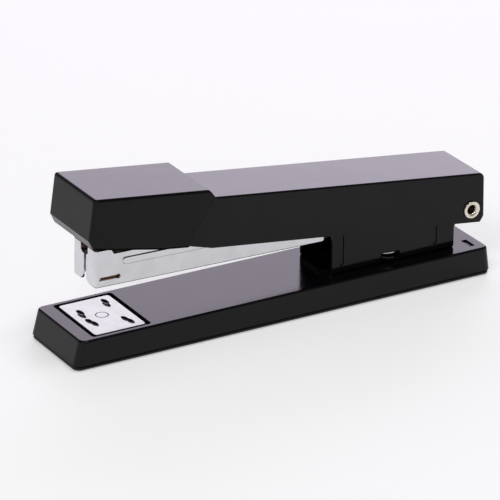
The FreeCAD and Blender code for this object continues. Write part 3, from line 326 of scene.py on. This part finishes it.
@dataclass(frozen=True)
class SoftRubber:
    """Matt rubber with moulding grain and a little chalky bloom."""

    name: str
    base: tuple[float, float, float]
    bloom: tuple[float, float, float]
    ior: float = 1.5

    def build(self) -> bpy.types.Material:
        """Makes the rubber.

        Returns:
            The material.
        """
        sheet = NodeSheet(self.name)
        where = sheet.space()
        shader = sheet.surface(IOR=self.ior)
        cloud = sheet.band(sheet.noise(where, 0.5, detail=5.0), 0.45, 0.8, 0.0, 1.0)
        sheet.join(sheet.blend(cloud, self.base, self.bloom), shader.inputs["Base Color"])
        sheet.join(sheet.band(cloud, 0.0, 1.0, 0.62, 0.85), shader.inputs["Roughness"])
        sheet.join(sheet.relief(sheet.noise(where, 6.0, detail=3.0), 1.0, 0.02), shader.inputs["Normal"])
        return sheet.material


@dataclass(frozen=True)
class Paper:
    """Seamless pale studio paper for the floor."""

    name: str
    colour: tuple[float, float, float]
    glow: float

    def build(self) -> bpy.types.Material:
        """Makes the paper, with a faint tooth and an even glow.

        Returns:
            The material.
        """
        sheet = NodeSheet(self.name)
        shader = sheet.surface(
            Specular_IOR_Level=0.1, Roughness=0.9, Emission_Color=(1, 1, 1, 1), Emission_Strength=self.glow,
        )
        where = sheet.space()
        tone = sheet.noise(where, 0.01, detail=3.0)
        shade = tuple(0.985 * channel for channel in self.colour)
        sheet.join(sheet.blend(tone, self.colour, shade), shader.inputs["Base Color"])
        sheet.join(sheet.relief(sheet.noise(where, 1.5), 0.5, 0.02), shader.inputs["Normal"])
        return sheet.material


class Finishes:
    """Every finish of the stapler, made once and lent to its pieces."""

    def __init__(self) -> None:
        """Builds all materials; the anvil's reads its height from the frame."""
        anvil_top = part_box("anvil_plate")[1].z
        self.enamel = BlackCoat(
            "black_enamel", base=(0.0018, 0.0017, 0.0024), haze=(0.0034, 0.0031, 0.0045), gloss=(0.09, 0.17),
            ior=1.29, grain_scale=1.1, grain_depth_mm=0.003, swell_depth_mm=0.05, specks=0.16,
        ).build()
        self.moulded = BlackCoat(
            "moulded_cap", base=(0.0016, 0.0016, 0.0022), haze=(0.003, 0.0028, 0.004), gloss=(0.12, 0.2),
            ior=1.26, grain_scale=2.4, grain_depth_mm=0.004, swell_depth_mm=0.04, specks=0.14,
        ).build()
        self.pan = BlackCoat(
            "pan_plastic", base=(0.003, 0.003, 0.0036), haze=(0.007, 0.007, 0.008), gloss=(0.3, 0.45),
            ior=1.35, grain_scale=3.0, grain_depth_mm=0.012, swell_depth_mm=0.03, specks=0.25,
        ).build()
        self.chrome = BrightMetal(
            "bright_chrome", colour=(0.66, 0.66, 0.685), stain=(0.58, 0.58, 0.60), gloss=(0.05, 0.12),
            brushed=(0.2, 1.0, 4.0), brush_depth_mm=0.0012, swell_depth_mm=0.02,
        ).build()
        self.spring = BrightMetal(
            "drawn_spring_steel", colour=(0.68, 0.68, 0.70), stain=(0.44, 0.43, 0.42), gloss=(0.16, 0.34),
            brushed=(2.0, 2.0, 2.0), brush_depth_mm=0.004, swell_depth_mm=0.0,
        ).build()
        self.zinc = BrightMetal(
            "zinc_steel", colour=(0.50, 0.50, 0.51), stain=(0.36, 0.36, 0.35), gloss=(0.28, 0.5),
            brushed=(0.5, 3.0, 3.0), brush_depth_mm=0.006, swell_depth_mm=0.01,
        ).build()
        self.nickel = BrightMetal(
            "warm_nickel", colour=(0.74, 0.68, 0.59), stain=(0.46, 0.38, 0.29), gloss=(0.16, 0.36),
            brushed=(2.5, 0.6, 2.5), brush_depth_mm=0.006, swell_depth_mm=0.01,
        ).build()
        self.copper = BrightMetal(
            "coppered_wire", colour=(0.62, 0.43, 0.29), stain=(0.42, 0.27, 0.17), gloss=(0.2, 0.38),
            brushed=(0.8, 3.0, 3.0), brush_depth_mm=0.004, swell_depth_mm=0.0,
        ).build()
        # the anvil's near-black second colour is painted shade in its grooves and on its sides
        self.anvil = AnvilPlating(
            "anvil_plating", colour=(0.265, 0.285, 0.25), groove_shade=(0.012, 0.012, 0.013), top_z=anvil_top,
        ).build()
        self.rubber = SoftRubber(
            "foot_rubber", base=(0.02, 0.02, 0.02), bloom=(0.05, 0.05, 0.048),
        ).build()


def dress(material: bpy.types.Material, *nodes: str) -> None:
    """Gives CAD nodes a finish.

    Args:
        material: The finish.
        *nodes: Names of the nodes.
    """
    for name in nodes:
        mesh = frame["nodes"][name].data
        mesh.materials.clear()
        mesh.materials.append(material)
        log.info("dressed %s in %s", name, material.name)


def finish_piece(name: str, shape: bmesh.types.BMesh, material: bpy.types.Material, body: str,
                 node: str) -> bpy.types.Object:
    """Turns a mesh into a piece that stands for a CAD node.

    Args:
        name: Name of the new piece.
        shape: Its mesh, in place in the frame; it is used up.
        material: Its finish.
        body: CAD body that it rides on.
        node: CAD node that it replaces.

    Returns:
        The new object.
    """
    bmesh.ops.remove_doubles(shape, verts=shape.verts, dist=MERGE)
    bmesh.ops.recalc_face_normals(shape, faces=shape.faces)
    mesh = bpy.data.meshes.new(name)
    shape.to_mesh(mesh)
    shape.free()
    piece = bpy.data.objects.new(name, mesh)
    bpy.context.scene.collection.objects.link(piece)
    mesh.materials.append(material)
    mesh.shade_smooth()
    mesh.set_sharp_from_angle(angle=SMOOTH_BELOW)
    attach(piece, body)
    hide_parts(node)
    log.info("built %s with %d faces", name, len(mesh.polygons))
    return piece


def add_copy(whole: bmesh.types.BMesh, part: bmesh.types.BMesh) -> None:
    """Adds a copy of one mesh to another.

    Args:
        whole: The mesh that grows.
        part: The mesh that is copied.
    """
    holder = bpy.data.meshes.new("holder")
    part.to_mesh(holder)
    whole.from_mesh(holder)
    bpy.data.meshes.remove(holder)


def round_edges(shape: bmesh.types.BMesh, edges: list[bmesh.types.BMEdge], offset: float,
                segments: int) -> None:
    """Bevels edges.

    Args:
        shape: The mesh.
        edges: Its edges to bevel.
        offset: Width of the bevel on each face.
        segments: Facets across the bevel.
    """
    bmesh.ops.bevel(
        shape, geom=edges, offset=offset, offset_type="OFFSET", segments=segments, profile=0.5,
        affect="EDGES", material=-1, clamp_overlap=True,
    )


def lathe(profile: list[tuple[float, float]], axis: Vector, centre: Vector,
          steps: int) -> bmesh.types.BMesh:
    """Spins a half outline into a closed solid of revolution.

    Args:
        profile: Points of (radius, distance along the axis), closed by the axis or on itself.
        axis: Direction of the axis; the profile starts out towards +X.
        centre: A point on the axis.
        steps: Facets round the axis.

    Returns:
        The turned mesh.
    """
    shape = bmesh.new()
    across = Vector((1, 0, 0))
    points = [shape.verts.new(centre + across * radius + axis * along) for radius, along in profile]
    edges = [shape.edges.new(pair) for pair in zip(points, points[1:])]
    if profile[0][0] > 0:
        edges.append(shape.edges.new((points[-1], points[0])))
    bmesh.ops.spin(
        shape, geom=points + edges, cent=centre, axis=axis, dvec=(0, 0, 0), angle=2 * math.pi,
        steps=steps, use_merge=True,
    )
    return shape


def arc(centre: tuple[float, float], radius: float, start: float, end: float,
        steps: int) -> list[tuple[float, float]]:
    """Points along an arc.

    Args:
        centre: Centre of the arc.
        radius: Its radius.
        start: Angle of the first point in degrees.
        end: Angle of the last point in degrees.
        steps: Chords along the arc.

    Returns:
        The points, from start to end.
    """
    turns = [math.radians(start + (end - start) * step / steps) for step in range(steps + 1)]
    return [(centre[0] + radius * math.cos(turn), centre[1] + radius * math.sin(turn)) for turn in turns]


@dataclass
class HingeAssembly:
    """Bracket, rivets, lift spring and the hollow rivet that the arms turn on."""

    finishes: Finishes
    pivot: Vector
    bore: float = 1.55 * MM
    shank: float = 2.6 * MM
    head: float = 3.2 * MM
    collar: float = 0.74 * MM
    lip: float = 0.3 * MM
    flare: float = 1.1 * MM
    facets: int = 72

    def __post_init__(self) -> None:
        """Takes the rivet's length from its CAD node."""
        self.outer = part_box("hinge_rivet")[1].y
        self.inner = self.outer - self.collar

    def build(self) -> None:
        """Dresses the bracket's nodes and makes the hollow rivet."""
        dress(self.finishes.enamel, "hinge_bracket", "bracket_rivets")
        dress(self.finishes.zinc, "hinge_spacers")
        dress(self.finishes.spring, "lift_spring")
        self.build_rivet()

    def rivet_half(self) -> list[tuple[float, float]]:
        """Half outline of one rivet head.

        Returns:
            Points from the bore out to the shank.
        """
        funnel = arc((self.bore + self.flare, self.outer - self.flare), self.flare, 180, 90, 8)
        crown = arc((self.head - self.lip, self.outer - self.lip), self.lip, 90, 0, 5)
        return funnel + crown + [(self.head, self.inner), (self.shank, self.inner)]

    def build_rivet(self) -> None:
        """The tubular rivet, its ends rolled outwards into two flared heads."""
        half = self.rivet_half()
        mirrored = [(radius, -along) for radius, along in reversed(half)]
        shape = lathe(half + mirrored, Vector((0, 1, 0)), self.pivot, self.facets)
        finish_piece(
            "rolled_hinge_rivet", shape, self.finishes.nickel, "base", "hinge_rivet",
        )


@dataclass
class BaseAssembly:
    """Shell, pan, feet and anvil."""

    finishes: Finishes
    ridges: int = 3
    foot_radius: float = 4.45 * MM
    dip: float = 0.25 * MM
    facets: int = 40

    def build(self) -> None:
        """Dresses the base's nodes and makes the ribbed feet."""
        dress(self.finishes.enamel, "base_shell")
        dress(self.finishes.pan, "bottom_pan", "anvil_button")
        dress(self.finishes.anvil, "anvil_plate", "anvil_stud")
        dress(self.finishes.zinc, "anvil_washer")
        dress(self.finishes.spring, "anvil_spring")
        self.build_feet()

    def foot_profile(self, height: float) -> list[tuple[float, float]]:
        """Half outline of a foot, with ring ridges on its sole.

        Args:
            height: Height of the foot.

        Returns:
            Points from the middle of the sole out and up to the middle of the top.
        """
        step = self.foot_radius / (2 * self.ridges + 1)
        slope = 0.2 * step
        profile = [(0.0, 0.0)]
        for ridge in range(self.ridges):
            start = step * (2 * ridge + 1)
            end = start + step
            profile += [(start, 0.0), (start + slope, self.dip), (end - slope, self.dip), (end, 0.0)]
        rim = arc((self.foot_radius - self.dip, self.dip), self.dip, -90, 0, 4)
        return profile + rim + [(self.foot_radius, height), (0.0, height)]

    def build_feet(self) -> None:
        """Four rubber feet at the corners of the feet's CAD box."""
        low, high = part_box("rubber_feet")
        profile = self.foot_profile(high.z)
        whole = bmesh.new()
        for x in (low.x + self.foot_radius, high.x - self.foot_radius):
            for y in (low.y + self.foot_radius, high.y - self.foot_radius):
                foot = lathe(profile, Vector((0, 0, 1)), Vector((x, y, low.z)), self.facets)
                bmesh.ops.remove_doubles(foot, verts=foot.verts, dist=MERGE)
                add_copy(whole, foot)
                foot.free()
        finish_piece("ribbed_feet", whole, self.finishes.rubber, "base", "rubber_feet")


@dataclass
class MagazineAssembly:
    """Magazine channel, rail, pusher and the strip of staples."""

    finishes: Finishes
    pivot: Vector
    tilt: float
    wire: float = 0.5 * MM
    crown: float = 5.55 * MM
    points: float = -0.9 * MM
    bend: float = 0.35 * MM
    rim: float = 0.09 * MM
    gap: float = 0.012 * MM
    slack_mm: float = 0.02

    def build(self) -> None:
        """Dresses the magazine's nodes and makes the single staples."""
        dress(self.finishes.chrome, "magazine_channel")
        dress(self.finishes.zinc, "staple_rail", "rail_rivets", "rod_block", "pusher")
        dress(self.finishes.spring, "pusher_rod", "pusher_spring")
        self.build_staples()

    def place(self) -> Matrix:
        """Turns the magazine's own frame to its resting place."""
        return Matrix.Translation(self.pivot) @ Matrix.Rotation(self.tilt, 4, "Y")

    def one_staple(self, half: float) -> bmesh.types.BMesh:
        """A staple over the rail, its front at x = 0.

        Args:
            half: Half of its width over the legs.

        Returns:
            The staple's mesh, in the magazine's frame.
        """
        shape = bmesh.new()
        inner = half - self.wire
        outline = [(-half, self.points), (-half, self.crown), (half, self.crown), (half, self.points)]
        outline += [(inner, self.points), (inner, self.crown - self.wire)]
        outline += [(-inner, self.crown - self.wire), (-inner, self.points)]
        corners = [shape.verts.new((0, y, z)) for y, z in outline]
        front = shape.faces.new(corners)
        back = [
            piece for piece in bmesh.ops.extrude_face_region(shape, geom=[front])["geom"]
            if isinstance(piece, bmesh.types.BMVert)
        ]
        bmesh.ops.translate(shape, verts=back, vec=(self.wire - self.gap, 0, 0))
        same = SAME_MM * MM
        lengthwise = [
            edge for edge in shape.edges if abs(edge.verts[0].co.x - edge.verts[1].co.x) > same
        ]
        bends = [
            edge for edge in lengthwise
            if all(vert.co.z > self.crown - same and abs(abs(vert.co.y) - half) < same for vert in edge.verts)
        ]
        round_edges(shape, bends, self.bend, 2)
        rims = [edge for edge in shape.edges if abs(edge.verts[0].co.x - edge.verts[1].co.x) < same]
        round_edges(shape, rims, self.rim, 1)
        return shape

    def build_staples(self) -> None:
        """Lines up single staples over the strip's length, each a hair out of line."""
        low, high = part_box("staple_strip")
        half = (high.y - low.y) / 2
        rear = self.place().inverted() @ Vector((high.x, 0, low.z))
        front = self.place().inverted() @ Vector((low.x, 0, high.z))
        count = int((rear.x - front.x) / self.wire)
        dice = random.Random(7)
        staple = self.one_staple(half)
        strip = bmesh.new()
        for index in range(count):
            first = len(strip.verts)
            add_copy(strip, staple)
            strip.verts.ensure_lookup_table()
            shift = Vector((front.x + index * self.wire, 0, dice.uniform(-self.slack_mm, 0.0) * MM))
            bmesh.ops.translate(strip, verts=strip.verts[first:], vec=shift)
        staple.free()
        bmesh.ops.transform(strip, matrix=self.place(), verts=strip.verts)
        finish_piece(
            "staple_row", strip, self.finishes.copper, "staples", "staple_strip",
        )


@dataclass
class HandleAssembly:
    """Handle, cap, driver and return leaf."""

    finishes: Finishes

    def build(self) -> None:
        """Dresses the handle's nodes."""
        dress(self.finishes.enamel, "handle_arm")
        dress(self.finishes.moulded, "head_cap")
        dress(self.finishes.spring, "driver_blade", "return_leaf")
        dress(self.finishes.zinc, "driver_rivets", "leaf_rivets")


@dataclass(frozen=True)
class Softbox:
    """A rectangular light that faces the stapler."""

    name: str
    towards: tuple[float, float, float]
    distance: float
    size: tuple[float, float]
    watts: float
    tint: tuple[float, float, float]

    def build(self, target: Vector) -> None:
        """Hangs the light.

        Args:
            target: Point that the light faces.
        """
        lamp = bpy.data.lights.new(self.name, "AREA")
        lamp.shape = "RECTANGLE"
        lamp.size, lamp.size_y = self.size
        lamp.energy = self.watts
        lamp.color = self.tint
        light = bpy.data.objects.new(self.name, lamp)
        bpy.context.scene.collection.objects.link(light)
        spot = target + Vector(self.towards).normalized() * self.distance
        light.location = spot
        light.rotation_mode = "QUATERNION"
        light.rotation_quaternion = (target - spot).to_track_quat("-Z", "Y")
        light.visible_camera = False


@dataclass
class Studio:
    """Pale floor, soft lights and the camera."""

    azimuth: float = -30.33
    elevation: float = 23.66
    roll: float = 0.32
    lens: float = 275.3
    sensor: float = 36.0
    distance: float = 1.3182
    target: Vector = field(default_factory=lambda: Vector((-0.00612, 0.00004, 0.02211)))
    floor_half: float = 15.0
    floor_drop: float = 0.1 * MM
    horizon: tuple[float, float] = (0.12, 0.95)
    overhead: tuple[float, float] = (0.55, 0.22)
    softboxes: tuple[Softbox, ...] = (
        Softbox("rear_softbox", (0.51, 0.79, 0.36), 1.6, (1.3, 0.85), 8.4, (1.0, 0.89, 1.1)),
        Softbox("front_fill", (-0.7, -0.55, 0.9), 1.7, (0.5, 0.5), 5.0, (1.0, 0.99, 0.97)),
        Softbox("top_strip", (0.15, -0.25, 1.0), 1.8, (0.9, 0.12), 6.0, (1.0, 1.0, 1.0)),
    )

    def build(self) -> None:
        """Makes the camera, the floor, the lights and the surroundings."""
        self.make_camera()
        self.make_floor()
        for softbox in self.softboxes:
            softbox.build(self.target)
        self.make_world()

    def axes(self) -> tuple[Vector, Vector, Vector]:
        """The camera's own directions.

        Returns:
            Its right, up and backward directions.
        """
        turn, rise = math.radians(self.azimuth), math.radians(self.elevation)
        right = Vector((math.cos(turn), math.sin(turn), 0))
        level = math.cos(rise)
        back = Vector((math.sin(turn) * level, -math.cos(turn) * level, math.sin(rise)))
        up = back.cross(right)
        lean = math.radians(self.roll)
        return (
            right * math.cos(lean) + up * math.sin(lean), up * math.cos(lean) - right * math.sin(lean), back,
        )

    def make_camera(self) -> None:
        """A long lens at the viewing angle."""
        right, up, back = self.axes()
        lens = bpy.data.cameras.new("camera")
        lens.lens = self.lens
        lens.sensor_width = self.sensor
        lens.clip_start = 0.05
        lens.clip_end = 60.0
        camera = bpy.data.objects.new("camera", lens)
        bpy.context.scene.collection.objects.link(camera)
        place = Matrix((right, up, back)).transposed().to_4x4()
        place.translation = self.target + back * self.distance
        camera.matrix_world = place
        bpy.context.scene.camera = camera

    def make_floor(self) -> None:
        """A wide sheet of pale paper under the stapler."""
        shape = bmesh.new()
        bmesh.ops.create_grid(shape, x_segments=1, y_segments=1, size=self.floor_half)
        bmesh.ops.translate(shape, verts=shape.verts, vec=(0, 0, -self.floor_drop))
        mesh = bpy.data.meshes.new("floor")
        shape.to_mesh(mesh)
        shape.free()
        floor = bpy.data.objects.new("floor", mesh)
        bpy.context.scene.collection.objects.link(floor)
        mesh.materials.append(Paper("studio_paper", (0.93, 0.93, 0.94), 0.36).build())

    def make_world(self) -> None:
        """Surroundings bright near the horizon and dim overhead."""
        world = bpy.data.worlds.new("surroundings")
        bpy.context.scene.world = world
        world.use_nodes = True
        tree = world.node_tree
        tree.nodes.clear()
        place = tree.nodes.new("ShaderNodeTexCoord")
        split = tree.nodes.new("ShaderNodeSeparateXYZ")
        ramp = tree.nodes.new("ShaderNodeMapRange")
        ramp.inputs["From Min"].default_value, ramp.inputs["To Min"].default_value = self.horizon
        ramp.inputs["From Max"].default_value, ramp.inputs["To Max"].default_value = self.overhead
        glow = tree.nodes.new("ShaderNodeBackground")
        output = tree.nodes.new("ShaderNodeOutputWorld")
        tree.links.new(place.outputs["Generated"], split.inputs["Vector"])
        tree.links.new(split.outputs["Z"], ramp.inputs["Value"])
        tree.links.new(ramp.outputs["Result"], glow.inputs["Strength"])
        tree.links.new(glow.outputs["Background"], output.inputs["Surface"])
        bpy.context.scene.view_settings.view_transform = "Standard"
        bpy.context.scene.view_settings.look = "None"


def joint(name: str) -> dict:
    """The record's entry for one joint."""
    return next(entry for entry in frame["joints"] if entry["name"] == name)


def main() -> None:
    """Builds the studio and every sub-assembly, in order."""
    logging.basicConfig(level=logging.INFO, format="%(name)s: %(message)s")
    pivot = Vector(joint("magazine_press")["pos_m"])
    rail = Vector(joint("pusher_slide")["axis"])
    tilt = math.atan2(-rail.z, rail.x)
    Studio().build()
    finishes = Finishes()
    for assembly in (
        BaseAssembly(finishes), HingeAssembly(finishes, pivot), MagazineAssembly(finishes, pivot, tilt),
        HandleAssembly(finishes),
    ):
        assembly.build()
        log.info("finished %s", type(assembly).__name__)


if __name__ == "__main__":
    main()
